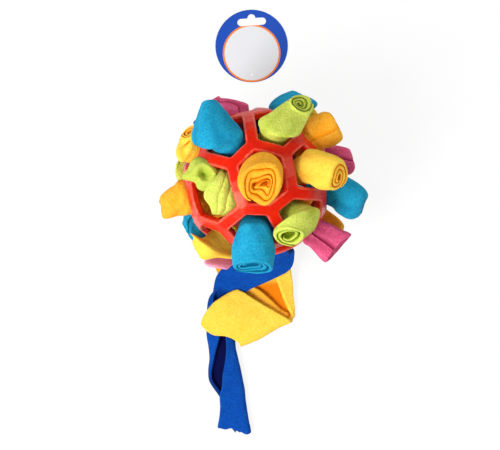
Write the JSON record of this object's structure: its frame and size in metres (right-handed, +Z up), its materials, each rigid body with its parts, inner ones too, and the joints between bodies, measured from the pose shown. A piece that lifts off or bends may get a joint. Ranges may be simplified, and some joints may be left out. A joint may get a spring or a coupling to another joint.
{
  "type": "snuffle ball toy",
  "caption": "Hollow rubber lattice ball stuffed with rolled fleece strips that pull out of its openings, with two long fleece tails and a round hanging card.",
  "frame": {"origin": "on the table, right under the ball's centre, in the face that the ball stands on", "axes": "+Z up from the table, +Y from the tails over the ball towards the card, +X to the right"},
  "size_m": [0.1598, 0.3587, 0.1462],
  "materials": {
    "red_rubber": "soft moulded rubber, glossy",
    "golden_fleece": "golden fleece",
    "yellow_fleece": "yellow fleece",
    "lime_fleece": "lime fleece",
    "turquoise_fleece": "turquoise fleece",
    "pink_fleece": "pink fleece",
    "light_pink_fleece": "light pink fleece",
    "blue_fleece": "royal blue fleece",
    "card": "coated card"
  },
  "bodies": {
    "ball": {"lattice_ball": "red_rubber", "strip_end": "blue_fleece", "blue_strip": "blue_fleece", "yellow_strip": "yellow_fleece", "swing_card": "card"},
    "tails": {"blue_tail": "blue_fleece", "yellow_tail": "yellow_fleece"},
    "centre_roll": {"roll_centre": "golden_fleece"},
    "top_roll": {"roll_top": "lime_fleece"},
    "upper_right_roll": {"roll_upper_right": "yellow_fleece"},
    "lower_right_roll": {"roll_lower_right": "lime_fleece"},
    "bottom_roll": {"roll_bottom": "turquoise_fleece"},
    "upper_left_roll": {"roll_upper_left": "turquoise_fleece"},
    "left_roll": {"roll_left": "lime_fleece"},
    "top_rim_roll": {"roll_top_rim": "pink_fleece"},
    "far_left_roll": {"roll_far_left": "yellow_fleece"},
    "outer_left_roll": {"roll_outer_left": "golden_fleece"},
    "under_left_roll": {"roll_under_left": "lime_fleece"},
    "under_lower_left_roll": {"roll_under_lower_left": "turquoise_fleece"},
    "lower_left_roll": {"roll_lower_left": "yellow_fleece"},
    "under_bottom_roll": {"roll_under_bottom": "light_pink_fleece"},
    "far_upper_right_roll": {"roll_far_upper_right": "golden_fleece"},
    "under_top_roll": {"roll_under_top": "yellow_fleece"},
    "top_right_rim_roll": {"roll_top_right_rim": "turquoise_fleece"},
    "under_right_roll": {"roll_under_right": "pink_fleece"},
    "far_right_roll": {"roll_far_right": "turquoise_fleece"},
    "under_lower_right_roll": {"roll_under_lower_right": "golden_fleece"},
    "far_lower_right_roll": {"roll_far_lower_right": "pink_fleece"},
    "foot_roll": {"roll_foot": "lime_fleece"}
  },
  "joints": [
    {"name": "tails_lift", "type": "hinge", "parent": "ball", "child": "tails", "pos_m": [0, -0.0844, 0.0088], "axis": [-1, 0, 0], "range_deg": [0, 70]},
    {"name": "pull_centre", "type": "slide", "parent": "ball", "child": "centre_roll", "axis": [0.0661, 0.0605, 0.996], "range_m": [0, 0.014]},
    {"name": "pull_top", "type": "slide", "parent": "ball", "child": "top_roll", "axis": [0.2327, 0.6666, 0.7081], "range_m": [0, 0.014]},
    {"name": "pull_upper_right", "type": "slide", "parent": "ball", "child": "upper_right_roll", "axis": [0.6724, 0.1369, 0.7274], "range_m": [0, 0.014]},
    {"name": "pull_lower_right", "type": "slide", "parent": "ball", "child": "lower_right_roll", "axis": [0.6308, -0.5162, 0.5794], "range_m": [0, 0.014]},
    {"name": "pull_bottom", "type": "slide", "parent": "ball", "child": "bottom_roll", "axis": [-0.0515, -0.6913, 0.7208], "range_m": [0, 0.014]},
    {"name": "pull_upper_left", "type": "slide", "parent": "ball", "child": "upper_left_roll", "axis": [-0.4098, 0.5494, 0.7281], "range_m": [0, 0.014]},
    {"name": "pull_left", "type": "slide", "parent": "ball", "child": "left_roll", "axis": [-0.6192, -0.192, 0.7614], "range_m": [0, 0.014]},
    {"name": "pull_top_rim", "type": "slide", "parent": "ball", "child": "top_rim_roll", "axis": [-0.3199, 0.9453, 0.064], "range_m": [0, 0.014]},
    {"name": "pull_far_left", "type": "slide", "parent": "ball", "child": "far_left_roll", "axis": [-0.8526, 0.4767, 0.2141], "range_m": [0, 0.014]},
    {"name": "pull_outer_left", "type": "slide", "parent": "ball", "child": "outer_left_roll", "axis": [-0.9713, -0.2214, 0.0873], "range_m": [0, 0.014]},
    {"name": "pull_under_left", "type": "slide", "parent": "ball", "child": "under_left_roll", "axis": [-0.8808, 0.1557, -0.4472], "range_m": [0, 0.014]},
    {"name": "pull_under_lower_left", "type": "slide", "parent": "ball", "child": "under_lower_left_roll", "axis": [-0.763, -0.4217, -0.4899], "range_m": [0, 0.014]},
    {"name": "pull_lower_left", "type": "slide", "parent": "ball", "child": "lower_left_roll", "axis": [-0.497, -0.8628, 0.0924], "range_m": [0, 0.014]},
    {"name": "pull_under_bottom", "type": "slide", "parent": "ball", "child": "under_bottom_roll", "axis": [-0.1814, -0.6666, -0.723], "range_m": [0, 0.014]},
    {"name": "pull_far_upper_right", "type": "slide", "parent": "ball", "child": "far_upper_right_roll", "axis": [0.7386, 0.6116, 0.2836], "range_m": [0, 0.014]},
    {"name": "pull_under_top", "type": "slide", "parent": "ball", "child": "under_top_roll", "axis": [0.1694, 0.7733, -0.611], "range_m": [0, 0.014]},
    {"name": "pull_top_right_rim", "type": "slide", "parent": "ball", "child": "top_right_rim_roll", "axis": [0.32, 0.9466, -0.0387], "range_m": [0, 0.014]},
    {"name": "pull_under_right", "type": "slide", "parent": "ball", "child": "under_right_roll", "axis": [0.7454, 0.4083, -0.527], "range_m": [0, 0.014]},
    {"name": "pull_far_right", "type": "slide", "parent": "ball", "child": "far_right_roll", "axis": [0.9989, -0.0345, 0.0301], "range_m": [0, 0.014]},
    {"name": "pull_under_lower_right", "type": "slide", "parent": "ball", "child": "under_lower_right_roll", "axis": [0.5856, -0.3122, -0.748], "range_m": [0, 0.014]},
    {"name": "pull_far_lower_right", "type": "slide", "parent": "ball", "child": "far_lower_right_roll", "axis": [0.7611, -0.6296, -0.1559], "range_m": [0, 0.014]},
    {"name": "pull_foot", "type": "slide", "parent": "ball", "child": "foot_roll", "axis": [-0.0851, 0.0876, -0.9925], "range_m": [0, 0.014]}
  ]
}
